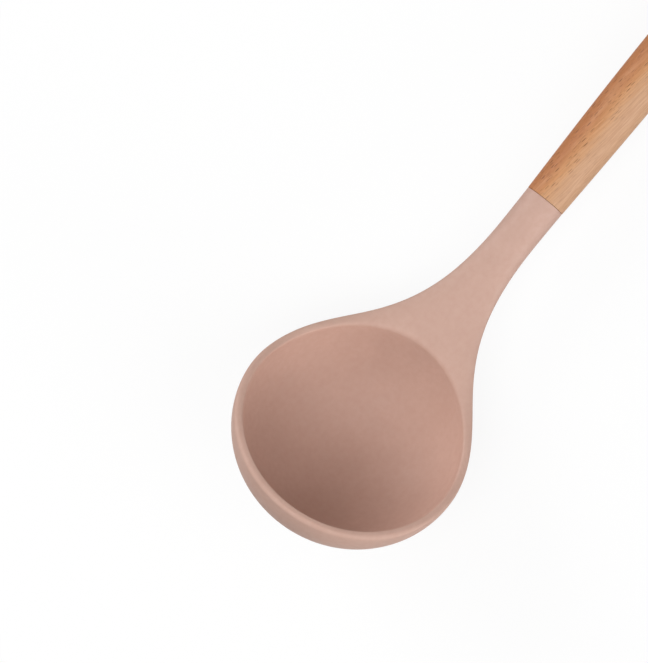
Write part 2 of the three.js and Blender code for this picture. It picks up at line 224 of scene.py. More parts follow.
def crown(x):
    """How far the rim's small rounding has grown into the full crown of the neck."""
    return ease(x, flare_start[0], crown_x)


def top_offset(x):
    """Height from the neck's axis to its top."""
    return mix(NECK_AXIS_DEPTH, COLLAR_RADIUS, ease(x, root_x, collar_x))


def crown_height(x):
    """Height that the top falls from its crown to its edge."""
    return mix(RIM_OUTER_ROUNDING, top_offset(x), crown(x))


def crown_fall(x, edge_distance):
    """Quarter ellipse from the edge inwards: the fall below the crown, by distance from the edge."""
    half, cosine = outline(x)
    width = mix(RIM_OUTER_ROUNDING, half * cosine, crown(x))
    inward = np.clip(1 - edge_distance / width, 0, 1)
    return crown_height(x) * (1 - np.sqrt(1 - inward ** 2))


def edge_height(x):
    """Height of the edge between the top and the underside."""
    return rim_height(x) - crown_height(x)


def top_height(x, y):
    """Top of the rim and of the neck's root: the rim line less the crown's fall."""
    half, cosine = outline(x)
    on_flare = np.abs(np.arctan2(y, x)) < FLARE_ANGLE
    edge_distance = np.where(on_flare, (half - np.abs(y)) * cosine, BOWL_RADIUS - np.hypot(x, y))
    return rim_height(x) - crown_fall(x, np.maximum(edge_distance, 0))


print(f"rim at the front {rim_height(-BOWL_RADIUS):.1f} mm, at the neck {rim_height(BOWL_RADIUS):.1f} mm")

# %% [markdown]
# ### Underside of the head
#
# From below, the bowl is half an ellipsoid, and its heel sweeps up into the underside of the neck. The
# lowest line, the keel, is drawn first in side view. Every section across is then half an ellipse that
# hangs from the edge down to the keel.

# %% Underside of the head
TINY = 1e-9


def bowl_keel(x):
    """Lowest line of the bowl in side view, a half ellipse hung from the free rim's edge."""
    share = np.sqrt(np.maximum(1 - (x / BOWL_RADIUS) ** 2, 0))
    return -RIM_OUTER_ROUNDING - (BOWL_DEPTH - RIM_OUTER_ROUNDING) * share


def keel_height(x):
    """The bowl's keel, then a cubic from the heel that meets the throat at the neck's slope."""
    span = throat_x - heel_x
    t = np.clip((x - heel_x) / span, 0, 1)
    heel_drop = bowl_keel(heel_x) + RIM_OUTER_ROUNDING
    heel_slope = -heel_drop * heel_x / (BOWL_RADIUS ** 2 - heel_x ** 2)
    rise = span * (heel_slope * t * (1 - t) ** 2 - neck_slope * t ** 2 * (1 - t))
    swept = mix(bowl_keel(heel_x), axis_height(throat_x) - THROAT_DEPTH, ease(t, 0, 1)) + rise
    return np.where(x <= heel_x, bowl_keel(x), swept)


def hull_height(x, y):
    """Outside of the bowl and the neck's root: half ellipses across, from the edge to the keel."""
    half = np.maximum(outline(x)[0], TINY)
    share = np.sqrt(np.maximum(1 - (y / half) ** 2, 0))
    return mix(edge_height(x), keel_height(x), share)


print(f"depth of the bowl: {-float(keel_height(np.array(0.0))):.1f} mm")

# %% [markdown]
# ### The fan's spokes
#
# The spokes of the fan turn once round the bowl. Across the neck they end on the straight line of its
# root, over the flares on the flare curve, and round the free rim on the circle. So the fan and the
# neck's tube share their points along the root and can be welded into one skin.

# %% Spokes of the fan
NECK_SPOKES = 44
FLARE_SPOKES = 30
RIM_SPOKES = 136

root_across = np.sin(np.linspace(-quarter, quarter, NECK_SPOKES + 1))
neck_angles = np.arctan2(root_across[:-1] * root_half, root_x)
corner = math.atan2(root_half, root_x)
flare_angles = np.linspace(corner, FLARE_ANGLE, FLARE_SPOKES, endpoint=False)
rim_angles = np.linspace(FLARE_ANGLE, 2 * math.pi - FLARE_ANGLE, RIM_SPOKES, endpoint=False)
back_angles = 2 * math.pi - np.linspace(FLARE_ANGLE, corner, FLARE_SPOKES, endpoint=False)
spoke_angle = np.concatenate([neck_angles, flare_angles, rim_angles, back_angles])
spoke_on_neck = np.arange(len(spoke_angle)) < NECK_SPOKES

curve_angle = np.arctan2(flare_curve[:, 1], flare_curve[:, 0])
folded = np.abs(np.where(spoke_angle > math.pi, spoke_angle - 2 * math.pi, spoke_angle))
flare_reach = np.interp(-folded, -curve_angle, np.hypot(*flare_curve.T))
spoke_reach = np.where(folded >= FLARE_ANGLE, BOWL_RADIUS, flare_reach)
spoke_reach = np.where(spoke_on_neck, root_x / np.cos(spoke_angle), spoke_reach)


def spokes(distance, height):
    """Points along the spokes: their distance from the middle, and a height function of x and y."""
    x = distance * np.cos(spoke_angle)
    y = distance * np.sin(spoke_angle)
    return np.stack(np.broadcast_arrays(x, y, height(x, y)), axis=-1)


print("spokes of the fan:", len(spoke_angle))

# %% [markdown]
# ### Rows of the bowl
#
# The rows run across the spokes. Inside, they climb the wall, roll over the rim and cross the land to
# the edge. The roll is a parabola that leaves the wall upright and meets the land at the land's own
# slope, so the light runs over the rim without a crease. It is a little wider towards the neck.

# %% Rows of the bowl
WALL_ROWS = 40
ROUNDING_ROWS = 10
LAND_ROWS = 20
HULL_ROWS = 56
SLOPE_STEP = 0.01

inner_radius = BOWL_RADIUS - BOWL_WALL
inner_depth = BOWL_DEPTH - BOWL_WALL
rim_rounding = mix(RIM_INNER_ROUNDING, NECK_INNER_ROUNDING, ease(-folded, -FLARE_ANGLE, -corner))
land_start = inner_radius + rim_rounding


def to_edge(height, share):
    """The height function, but the edge itself where a spoke off the neck meets the outline."""
    at_edge = (share > 1 - TINY) & ~spoke_on_neck
    return lambda x, y: np.where(at_edge, edge_height(x), height(x, y))


def bowl_inside():
    """Half ellipses up from the middle, a parabola that rolls over the rim, and the land to the edge."""
    land_height = spokes(land_start, top_height)[:, 2]
    land_slope = (spokes(land_start + SLOPE_STEP, top_height)[:, 2] - land_height) / SLOPE_STEP
    corner_height = land_height - land_slope * rim_rounding
    wall_top = corner_height - rim_rounding
    turn = np.linspace(0, quarter, WALL_ROWS)[:, None]
    wall_height = mix(wall_top, -inner_depth, np.cos(turn))
    wall = spokes(inner_radius * np.sin(turn), lambda x, y: wall_height)
    t = np.linspace(0, 1, ROUNDING_ROWS)[1:, None]
    rolled = wall_top * (1 - t) ** 2 + 2 * corner_height * t * (1 - t) + land_height * t ** 2
    rounding = spokes(inner_radius + rim_rounding * t ** 2, lambda x, y: rolled)
    share = np.sin(np.linspace(0, quarter, LAND_ROWS)[1:, None])
    land = spokes(mix(land_start, spoke_reach, share), to_edge(top_height, share))
    return np.concatenate([wall, rounding, land])


def bowl_outside():
    """Rows from the edge down to the keel, each a share of the spokes' reach."""
    share = np.sin(np.linspace(quarter, 0, HULL_ROWS)[:, None])
    return spokes(spoke_reach * share, to_edge(hull_height, share))


inside_grid = bowl_inside()
outside_grid = bowl_outside()
print("rows of the bowl:", len(inside_grid), "inside,", len(outside_grid), "outside")

# %% [markdown]
# ### Rows of the neck
#
# The neck is a tube of closed sections. At the root a section stands upright, because it has to meet the
# fans there. Towards the collar it leans over until it is square to the neck's axis, as the end that
# meets the handle is. The collar's edge is nearly sharp and reaches a little into the seam's gap, because
# soft silicone presses on the wood there and only a hairline shows.

# %% Rows of the neck
NECK_ROWS = 70


def neck_tube():
    """Sections of a crowned top and a half elliptic underside, leaning from upright to square."""
    x = np.linspace(root_x, collar_x - COLLAR_ROUNDING * math.cos(NECK_ANGLE), NECK_ROWS)[:, None]
    half, cosine = outline(x)
    y = root_across * half
    fall = crown_fall(x, (half - np.abs(y)) * cosine)
    edge = top_offset(x) - crown_height(x)
    past_throat = mix(THROAT_DEPTH, COLLAR_RADIUS, ease(x, throat_x, collar_x))
    keel = np.where(x <= throat_x, axis_height(x) - keel_height(x), past_throat)
    under = mix(edge, -keel, np.sqrt(np.maximum(1 - root_across ** 2, 0)))
    offset = np.hstack([top_offset(x) - fall, under[:, -2:0:-1]])
    across = np.hstack([y, y[:, -2:0:-1]])
    lean = NECK_ANGLE * ease(x, throat_x, collar_x)
    along = x - offset * np.sin(lean)
    return np.stack([along, across, axis_height(x) + offset * np.cos(lean)], axis=-1)


def collar_edge(section):
    """Quarter ellipse: the last section shrinks a little while it moves along the axis into the seam."""
    middle = collar_point - COLLAR_ROUNDING * handle_way
    turn = np.linspace(0, quarter, ROUNDING_ROWS)[1:, None, None]
    shrink = 1 - COLLAR_ROUNDING / COLLAR_RADIUS * (1 - np.cos(turn))
    onward = (COLLAR_ROUNDING + COLLAR_REACH) * np.sin(turn) * handle_way
    return middle + onward + shrink * (section - middle)


tube = neck_tube()
neck_grid = np.concatenate([tube, collar_edge(tube[-1])])
print("rows of the neck:", len(neck_grid))

# %% [markdown]
# ### From grids to a piece
#
# A grid becomes a skin when each cell between two rows and two columns is a face. The columns close
# round the piece, so the last column joins the first. Grids that share points are welded, which also
# closes the poles in the middle of the bowl. The collar's flat end is still open then and is filled
# with one face. A closed skin has two faces at every edge, so the count of other edges has to be 0.
# The points are in metres by now, and so are the distances below which they are welded.

# %% Grids into meshes
WELD_DISTANCE = 2e-6
COLLAPSED_EDGE = 2e-7
SHARP_ANGLE = math.radians(35)


def grid_faces(rows, columns):
    """Corner numbers of the cells of a grid whose columns close round the piece."""
    i, j = np.meshgrid(np.arange(rows - 1), np.arange(columns), indexing="ij")
    k = (j + 1) % columns
    corners = [i * columns + j, (i + 1) * columns + j, (i + 1) * columns + k, i * columns + k]
    return np.stack(corners, axis=-1)


def count_open_edges(mesh):
    """Number of edges that don't lie between exactly two faces."""
    edge_of_corner = np.empty(len(mesh.loops), dtype=np.int32)
    mesh.loops.foreach_get("edge_index", edge_of_corner)
    return int(np.sum(np.bincount(edge_of_corner, minlength=len(mesh.edges)) != 2))


def skin(name, grids, cells):
    """One welded, closed, smooth object from grids of points in metres and the faces of each grid."""
    starts = np.cumsum([0] + [grid.shape[0] * grid.shape[1] for grid in grids[:-1]])
    points = np.concatenate([grid.reshape(-1, 3) for grid in grids])
    faces = np.concatenate([part.reshape(-1, 4) + start for part, start in zip(cells, starts)])
    mesh = bpy.data.meshes.new(name)
    mesh.from_pydata(points.tolist(), [], faces.tolist())
    shape = bmesh.new()
    shape.from_mesh(mesh)
    bmesh.ops.remove_doubles(shape, verts=shape.verts, dist=WELD_DISTANCE)
    bmesh.ops.dissolve_degenerate(shape, edges=shape.edges, dist=COLLAPSED_EDGE)
    bmesh.ops.holes_fill(shape, edges=shape.edges)
    bmesh.ops.recalc_face_normals(shape, faces=shape.faces)
    shape.to_mesh(mesh)
    shape.free()
    mesh.shade_smooth()
    mesh.set_sharp_from_angle(angle=SHARP_ANGLE)
    piece = bpy.data.objects.new(name, mesh)
    bpy.context.scene.collection.objects.link(piece)
    print(f"{name}: {len(mesh.polygons)} faces, {count_open_edges(mesh)} open edges")
    return piece


head_grids = [inside_grid, outside_grid, neck_grid]
head_cells = [grid_faces(*grid.shape[:2]) for grid in head_grids]
silicone_skin = skin("silicone_skin", [lying(grid) for grid in head_grids], head_cells)

# %% [markdown]
# ### Room for the core
#
# The silicone is moulded round the steel dish and its tang, so the moulding has a pocket of their shape.
# A copy of each steel piece, grown by the fit gap along its normals, is cut out of the skin with a
# boolean.

# %% Pocket of the core


def bake(piece):
    """Puts the result of a piece's modifiers into its own mesh."""
    graph = bpy.context.evaluated_depsgraph_get()
    piece.data = bpy.data.meshes.new_from_object(piece.evaluated_get(graph))
    piece.modifiers.clear()


def carve(piece, node):
    """Cuts the room of a frame piece, grown by the fit gap, out of a new piece."""
    room = bpy.data.objects.new("room", frame["nodes"][node].data.copy())
    bpy.context.scene.collection.objects.link(room)
    shape = bmesh.new()
    shape.from_mesh(room.data)
    bmesh.ops.remove_doubles(shape, verts=shape.verts, dist=WELD_DISTANCE)
    shape.to_mesh(room.data)
    shape.free()
    grow = room.modifiers.new("grow", "DISPLACE")
    grow.strength = FIT_GAP * MM
    grow.mid_level = 0
    cut = piece.modifiers.new("cut", "BOOLEAN")
    cut.operation = "DIFFERENCE"
    cut.solver = "EXACT"
    cut.object = room
    bake(piece)
    bpy.data.objects.remove(room)


for steel_node in ("bowl_core", "tang"):
    carve(silicone_skin, steel_node)
silicone_skin.data.set_sharp_from_angle(angle=SHARP_ANGLE)
silicone_skin.data.materials.clear()
print("silicone skin with its pocket:", len(silicone_skin.data.polygons), "faces,",
      count_open_edges(silicone_skin.data), "open edges")

# %% [markdown]
# ## The beech handle
#
# The handle is turned on a lathe: a quick swell behind the seam, a long belly and a rounded end. A
# profile carried round an axis gives that at once. It starts at the bottom of the bore that takes the
# tang, comes out at the seam and runs along the outside to the far end.

# %% Profile of the handle
HANDLE_FRONT_RADIUS = 8.15
HANDLE_BELLY_RADIUS = 9.45
HANDLE_BELLY_FROM_FRONT = 72.0
HANDLE_END_RADIUS = 8.8
HANDLE_FRONT_ROUNDING = 0.25
HANDLE_END_ROUNDING = 5.0
HANG_HOLE_TO_END = 16.0
TANG_RADIUS = 2.5
TANG_IN_HANDLE = 52.0
ADHESIVE_THICKNESS = 0.8
BODY_ROWS = 90
WINDOW_ROWS = 16
WINDOW_HALF_LENGTH = 8.0

bore_radius = TANG_RADIUS + FIT_GAP + ADHESIVE_THICKNESS + FIT_GAP
bore_depth = TANG_IN_HANDLE + FIT_GAP
hole_middle = HANDLE_LENGTH - HANG_HOLE_TO_END
window_low = hole_middle - WINDOW_HALF_LENGTH
window_high = hole_middle + WINDOW_HALF_LENGTH
end_start = HANDLE_LENGTH - HANDLE_END_ROUNDING


def handle_radius(along):
    """Quarter sine from the front to the belly, then a quarter cosine down to the end."""
    swell = np.sin(quarter * np.clip(along / HANDLE_BELLY_FROM_FRONT, 0, 1))
    past = (along - HANDLE_BELLY_FROM_FRONT) / (HANDLE_LENGTH - HANDLE_BELLY_FROM_FRONT)
    taper = 1 - np.cos(quarter * np.clip(past, 0, 1))
    swollen = mix(HANDLE_FRONT_RADIUS, HANDLE_BELLY_RADIUS, swell)
    return swollen - (HANDLE_BELLY_RADIUS - HANDLE_END_RADIUS) * taper


def handle_profile():
    """Bore, front rounding, body and end rounding, as distances along the axis and radii."""
    turn = np.linspace(0, quarter, ROUNDING_ROWS)
    bore = np.array([[bore_depth, 0], [bore_depth, bore_radius], [0, bore_radius]])
    front_along = HANDLE_FRONT_ROUNDING * (1 - np.cos(turn))
    front_radius = handle_radius(HANDLE_FRONT_ROUNDING) - HANDLE_FRONT_ROUNDING * (1 - np.sin(turn))
    body_along = np.linspace(HANDLE_FRONT_ROUNDING, window_low, BODY_ROWS)[1:]
    window_along = np.linspace(window_low, window_high, WINDOW_ROWS + 1)[1:]
    end_along = end_start + HANDLE_END_ROUNDING * np.sin(turn)
    end_radius = handle_radius(end_start) - HANDLE_END_ROUNDING * (1 - np.cos(turn))
    along = np.concatenate([front_along, body_along, window_along, end_along])
    sides = handle_radius(np.concatenate([body_along, window_along]))
    outside = np.stack([along, np.concatenate([front_radius, sides, end_radius])], axis=1)
    window_row = len(bore) + len(front_along) + len(body_along) - 1
    return np.concatenate([bore, outside, [[HANDLE_LENGTH, 0]]]), window_row


profile, window_row = handle_profile()
print(f"handle profile: {len(profile)} points, window from row {window_row}")

# %% [markdown]
# ### The hanging hole
#
# The hole through the far end is the hard part of the handle. A boolean would leave long thin faces
# round it, so the turned grid has a window there instead. A ring of cells runs from the edge of the
# window to the hole's eased mouth, through the hole, and out to the window on the other side.

# %% Hanging hole
HANG_HOLE_RADIUS = 4.0
HANG_HOLE_EASING = 0.7
HANDLE_COLUMNS = 144
WINDOW_HALF_COLUMNS = 16
RING_ROWS = 8
HOLE_ROWS = 6


def turned(along, radius, angle):
    """Points round the handle's axis: distance along it, radius, and angle from its top."""
    points = np.broadcast_arrays(along, radius * np.sin(angle), radius * np.cos(angle))
    return np.stack(points, axis=-1)


def window_edge():
    """Once round the window's edge: two parameters from -1 to 1, along the handle and across it."""
    sides = np.linspace(-1, 1, 2 * WINDOW_HALF_COLUMNS + 1)[:-1]
    lengths = np.linspace(-1, 1, WINDOW_ROWS + 1)[:-1]
    u = np.concatenate([-np.ones_like(sides), lengths, np.ones_like(sides), -lengths])
    v = np.concatenate([sides, np.ones_like(lengths), -sides, -np.ones_like(lengths)])
    return u, v


def hole_ring():
    """Straight blend from the window's edge to the mouth, quarter round into the hole, and its mirror."""
    u, v = window_edge()
    bearing = np.arctan2(v, u)
    mouth = HANG_HOLE_RADIUS + HANG_HOLE_EASING
    mouth_along = hole_middle + mouth * np.cos(bearing)
    mouth_angle = np.arcsin(mouth * np.sin(bearing) / handle_radius(mouth_along))
    edge_angle = 2 * math.pi * WINDOW_HALF_COLUMNS / HANDLE_COLUMNS * v
    share = np.linspace(0, 1, RING_ROWS)[:, None]
    ring_along = mix(hole_middle + WINDOW_HALF_LENGTH * u, mouth_along, share)
    ring = turned(ring_along, handle_radius(ring_along), mix(edge_angle, mouth_angle, share))

    turn = np.linspace(0, quarter, ROUNDING_ROWS)[1:, None]
    reach = mouth - HANG_HOLE_EASING * np.sin(turn)
    along = hole_middle + reach * np.cos(bearing)
    across = reach * np.sin(bearing)
    surface = np.sqrt(handle_radius(along) ** 2 - across ** 2)
    easing = np.stack([along, across, surface - HANG_HOLE_EASING * (1 - np.cos(turn))], axis=-1)

    upper = np.concatenate([ring, easing])
    lower = upper[::-1] * [1, 1, -1]
    share = np.linspace(0, 1, HOLE_ROWS + 2)[1:-1, None, None]
    return np.concatenate([upper, mix(upper[-1], lower[0], share), lower])


ring_grid = hole_ring()
print("hanging hole:", len(ring_grid), "rows of", ring_grid.shape[1], "points")

# %% [markdown]
# ### The turned grid
#
# The profile is carried round in even steps, and the cells in the two windows are left out. The edge of
# the ring has the same points as the edge of a window, so the two grids weld into one closed handle.

# %% Turned handle


def on_handle(points):
    """Points of the handle's frame, x along its axis from the front, in the ladle's own frame."""
    upward = np.array([-math.sin(NECK_ANGLE), 0, math.cos(NECK_ANGLE)])
    return handle_start + points @ np.stack([handle_way, [0, 1, 0], upward])


def handle_cells():
    """Cells of the turned grid without those in the two windows."""
    rows, columns = np.meshgrid(np.arange(len(profile) - 1), np.arange(HANDLE_COLUMNS), indexing="ij")
    in_rows = (rows >= window_row) & (rows < window_row + WINDOW_ROWS)
    from_top = (columns + WINDOW_HALF_COLUMNS) % (HANDLE_COLUMNS // 2)
    in_window = in_rows & (from_top < 2 * WINDOW_HALF_COLUMNS)
    return grid_faces(len(profile), HANDLE_COLUMNS)[~in_window]


column_angle = np.linspace(0, 2 * math.pi, HANDLE_COLUMNS, endpoint=False)
handle_grid = turned(profile[:, :1], profile[:, 1:], column_angle)
grip_cells = [handle_cells(), grid_faces(*ring_grid.shape[:2])]
beech_grip = skin("beech_grip", [lying(on_handle(grid)) for grid in (handle_grid, ring_grid)], grip_cells)

# %% [markdown]
# ## Finishes
#
# Every finish is a small network of nodes on Object coordinates, which are metres here, so a pattern of
# a known size in millimetres has a scale of one over that size. One function adds a node with its
# settings and links, and one turns the colours, which are written as a screen shows them, into the
# linear values that light works with. Noise keeps mostly between two values, so those two are spread
# over the full range wherever noise drives a colour or a gloss.

# %% Helpers for finishes
NOISE_SPAN = {"From Min": 0.3, "From Max": 0.7}
WHITE = "#ffffff"
SRGB_KNEE = 0.04045
SRGB_SLOPE = 12.92
SRGB_OFFSET = 0.055
SRGB_POWER = 2.4


def linear(code):
    """Linear RGBA of an sRGB hex colour: each channel through the sRGB curve."""
    channels = np.array([int(code[k:k + 2], 16) for k in (1, 3, 5)]) / 255
    bent = ((channels + SRGB_OFFSET) / (1 + SRGB_OFFSET)) ** SRGB_POWER
    curve = np.where(channels <= SRGB_KNEE, channels / SRGB_SLOPE, bent)
    return (*curve.tolist(), 1.0)


def add(tree, kind, inputs, **settings):
    """Adds a node, fills its sockets with values or links, and gives its outputs by identifier."""
    node = tree.nodes.new("ShaderNode" + kind)
    for name, value in settings.items():
        setattr(node, name, value)
    sockets = {socket.identifier: socket for socket in node.inputs}
    for identifier, value in inputs.items():
        if isinstance(value, bpy.types.NodeSocket):
            tree.links.new(value, sockets[identifier])
        else:
            sockets[identifier].default_value = value
    return {socket.identifier: socket for socket in node.outputs}


def empty_finish(name):
    """A new material and its empty node tree."""
    material = bpy.data.materials.new(name)
    material.use_nodes = True
    material.node_tree.nodes.clear()
    return material, material.node_tree


def per_metre(size_mm):
    """Scale of a pattern whose features are this many millimetres apart, for one size or for three."""
    return 1 / (MM * np.array(size_mm))


print("white in linear light:", linear(WHITE))

# %% [markdown]
# ### Matt silicone
#
# The head is silicone, moulded in a tool with a fine spark-eroded skin. That gives a soft matt pink
# without sharp reflections, a faint cloudiness a finger or so wide from the pigment, and small darker
# specks. The grain itself is too fine to see from a step away and only breaks up the light, so it is
# drawn a little coarser than it is.

# %% Matt silicone
SILICONE_DEEP = "#c8a495"
SILICONE_PALE = "#cda99a"
SILICONE_SPECK = "#c29a8a"
SILICONE_SPECK_MOST = 0.35
SILICONE_CLOUD = 16.0
SILICONE_MOTTLE = 2.2
SILICONE_GRAIN = 0.45
SILICONE_GRAIN_DEPTH = 0.05
SILICONE_GRAIN_STRENGTH = 0.12
SILICONE_SMOOTHEST = 0.52
SILICONE_ROUGHEST = 0.62
SILICONE_IOR = 1.41


def matt_silicone():
    """Pink clouded by wide noise and specked by fine noise, which also varies the gloss."""
    material, tree = empty_finish("matt_silicone")
    position = add(tree, "TexCoord", {})["Object"]
    cloud = add(tree, "TexNoise", {"Vector": position, "Scale": per_metre(SILICONE_CLOUD)})
    mottle = add(tree, "TexNoise", {"Vector": position, "Scale": per_metre(SILICONE_MOTTLE)})
    grain = add(tree, "TexNoise", {"Vector": position, "Scale": per_metre(SILICONE_GRAIN)})
    clouded = add(tree, "MapRange", {"Value": cloud["Fac"], **NOISE_SPAN})
    tone = add(tree, "Mix", {"Factor_Float": clouded["Result"], "A_Color": linear(SILICONE_DEEP),
                             "B_Color": linear(SILICONE_PALE)}, data_type="RGBA")
    speck = add(tree, "MapRange", {"Value": mottle["Fac"], **NOISE_SPAN, "To Max": SILICONE_SPECK_MOST})
    colour = add(tree, "Mix", {"Factor_Float": speck["Result"], "A_Color": tone["Result_Color"],
                               "B_Color": linear(SILICONE_SPECK)}, data_type="RGBA")
    rough = add(tree, "MapRange", {"Value": mottle["Fac"], **NOISE_SPAN,
                                   "To Min": SILICONE_SMOOTHEST, "To Max": SILICONE_ROUGHEST})
    relief = add(tree, "Bump", {"Height": grain["Fac"], "Strength": SILICONE_GRAIN_STRENGTH,
                                "Distance": SILICONE_GRAIN_DEPTH * MM})
    shader = add(tree, "BsdfPrincipled", {"Base Color": colour["Result_Color"], "IOR": SILICONE_IOR,
                                          "Roughness": rough["Result"], "Normal": relief["Normal"]})
    add(tree, "OutputMaterial", {"Surface": shader["BSDF"]})
    return material


silicone_skin.data.materials.append(matt_silicone())
print("finish:", silicone_skin.data.materials[0].name)

# %% [markdown]
# ### Oiled beech
#
# Beech is pale, even and slightly pink, and oil makes it golden. Four things give it away. This turning
# is redder and darker towards +y and paler towards -y. Soft bands show where growth rings meet the
# surface. Hair-fine fibre runs straight along it. Short dark flecks are the ends of its rays, thin plates
# that stand along the grain, so a fleck is a few millimetres long and a few tenths wide. The grain runs a
# little askew to the handle's axis, so the coordinates are first turned to it.

# %% Grain of the beech
GRAIN_SLOPE = math.radians(7)
RAY_CELL = (5.0, 0.6, 1.2)
RAY_SIZE = 0.33
RAY_STRENGTH = 0.85
PORE_CELL = (2.4, 0.4, 0.8)
PORE_SIZE = 0.3
PORE_STRENGTH = 0.35
FLECK_FAINTEST = 0.3
FLECK_CORE = 0.5


def flecks(tree, grain, cell, size, strength):
    """In each cell, in millimetres, an ellipse of size times the cell, with a strength of its own."""
    spot = add(tree, "Mapping", {"Vector": grain, "Scale": per_metre(cell)})
    cells = add(tree, "TexVoronoi", {"Vector": spot["Vector"], "Scale": 1.0})
    vary = add(tree, "MapRange", {"Value": cells["Color"], **NOISE_SPAN,
                                  "To Min": FLECK_FAINTEST * strength, "To Max": strength})
    shape = add(tree, "MapRange", {"Value": cells["Distance"], "From Min": FLECK_CORE * size,
                                   "From Max": size, "To Min": 1.0, "To Max": 0.0},
                interpolation_type="SMOOTHSTEP")
    faded = add(tree, "Math", {"Value": vary["Result"], "Value_001": shape["Result"]},
                operation="MULTIPLY")
    return faded["Value"]


print(f"longest fleck: {2 * RAY_SIZE * RAY_CELL[0]:.1f} by {2 * RAY_SIZE * RAY_CELL[1]:.1f} mm")

# %% Tone of the beech
BEECH_GOLDEN = "#d59d6d"
# Tones of the two sides: redder and darker towards +y, paler towards -y.
BEECH_RED_SIDE = "#b7723d"
BEECH_PALE_SIDE = "#cea17d"
RING_CELL = (35.0, 2.6, 2.6)
RING_DISTORTION = 0.4
BORDER_WANDER = 4.0
REDDENING_FROM = 0.0
REDDENING_FULL = 7.0
PALING_FROM = 2.5
PALING_FULL = -4.5


def beech_tone(tree, position, grain):
    """Golden, redder and darker towards +y and paler towards -y; the rings move the borders to and fro.
    """
    spot = add(tree, "Mapping", {"Vector": grain, "Scale": per_metre(RING_CELL)})
    rings = add(tree, "TexNoise", {"Vector": spot["Vector"], "Scale": 1.0, "Distortion": RING_DISTORTION})
    across = add(tree, "SeparateXYZ", {"Vector": position})
    wander = add(tree, "MapRange", {"Value": rings["Fac"], "To Min": -BORDER_WANDER * MM,
                                    "To Max": BORDER_WANDER * MM})
    side = add(tree, "Math", {"Value": across["Y"], "Value_001": wander["Result"]}, operation="ADD")
    reddening = add(tree, "MapRange", {"Value": side["Value"], "From Min": REDDENING_FROM * MM,
                                   "From Max": REDDENING_FULL * MM}, interpolation_type="SMOOTHSTEP")
    paling = add(tree, "MapRange", {"Value": side["Value"], "From Min": PALING_FROM * MM,
                                 "From Max": PALING_FULL * MM}, interpolation_type="SMOOTHSTEP")
    golden = add(tree, "Mix", {"Factor_Float": reddening["Result"], "A_Color": linear(BEECH_GOLDEN),
                               "B_Color": linear(BEECH_RED_SIDE)}, data_type="RGBA")
    tone = add(tree, "Mix", {"Factor_Float": paling["Result"], "A_Color": golden["Result_Color"],
                             "B_Color": linear(BEECH_PALE_SIDE)}, data_type="RGBA")
    return tone["Result_Color"], paling["Result"]


print(f"heart side redder from y = {REDDENING_FROM:.1f} mm, sap side paler from y = {PALING_FROM:.1f} mm")

# %% Oiled beech
BEECH_FIBRE = "#8f5630"
BEECH_FLECK = "#622f04"
FIBRE_CELL = (12.0, 0.45, 0.45)
FIBRE_MOST = 0.3
PALE_SIDE_FLECKS = 0.2
FIBRE_DEPTH = 0.06
FIBRE_STRENGTH = 0.15
BEECH_SMOOTHEST = 0.5
BEECH_ROUGHEST = 0.65
BEECH_IOR = 1.5


def oiled_beech():
    """The tone, darkened along the fibre and then in the flecks, which are few on the paler side."""
    material, tree = empty_finish("oiled_beech")
    position = add(tree, "TexCoord", {})["Object"]
    askew = (0, NECK_ANGLE - tip, GRAIN_SLOPE)
    grain = add(tree, "Mapping", {"Vector": position, "Rotation": askew})["Vector"]
    tone, paling = beech_tone(tree, position, grain)
    spot = add(tree, "Mapping", {"Vector": grain, "Scale": per_metre(FIBRE_CELL)})
    fibre = add(tree, "TexNoise", {"Vector": spot["Vector"], "Scale": 1.0})
    streak = add(tree, "MapRange", {"Value": fibre["Fac"], **NOISE_SPAN, "To Max": FIBRE_MOST})
    streaked = add(tree, "Mix", {"Factor_Float": streak["Result"], "A_Color": tone,
                                 "B_Color": linear(BEECH_FIBRE)}, data_type="RGBA")
    rays = flecks(tree, grain, RAY_CELL, RAY_SIZE, RAY_STRENGTH)
    pores = flecks(tree, grain, PORE_CELL, PORE_SIZE, PORE_STRENGTH)
    dark = add(tree, "Math", {"Value": rays, "Value_001": pores}, operation="MAXIMUM")
    fade = add(tree, "MapRange", {"Value": paling, "To Min": 1.0, "To Max": PALE_SIDE_FLECKS})
    fleck = add(tree, "Math", {"Value": dark["Value"], "Value_001": fade["Result"]}, operation="MULTIPLY")
    colour = add(tree, "Mix", {"Factor_Float": fleck["Value"], "A_Color": streaked["Result_Color"],
                               "B_Color": linear(BEECH_FLECK)}, data_type="RGBA")
    rough = add(tree, "MapRange", {"Value": fibre["Fac"], **NOISE_SPAN,
                                   "To Min": BEECH_SMOOTHEST, "To Max": BEECH_ROUGHEST})
    relief = add(tree, "Bump", {"Height": fibre["Fac"], "Strength": FIBRE_STRENGTH,
                                "Distance": FIBRE_DEPTH * MM})
    shader = add(tree, "BsdfPrincipled", {"Base Color": colour["Result_Color"], "IOR": BEECH_IOR,
                                          "Roughness": rough["Result"], "Normal": relief["Normal"]})
    add(tree, "OutputMaterial", {"Surface": shader["BSDF"]})
    return material


beech_grip.data.materials.append(oiled_beech())
print("finish:", beech_grip.data.materials[0].name)

# %% [markdown]
# ### Steel and epoxy inside
#
# The dish is pressed from stainless sheet and the tang is drawn rod, so one has a cloudy dull skin and
# the other fine lines along its length. The glue round the tang is straw coloured epoxy. None of them
# shows on the whole ladle, but a part taken off shows them.

# %% Stainless steel
STEEL_DARK = "#a9abad"
STEEL_PALE = "#c9cacb"
STEEL_SMOOTHEST = 0.28
STEEL_ROUGHEST = 0.46
PRESSED_MARK = (6.0, 6.0, 6.0)
DRAWN_MARK = (30.0, 0.3, 0.3)


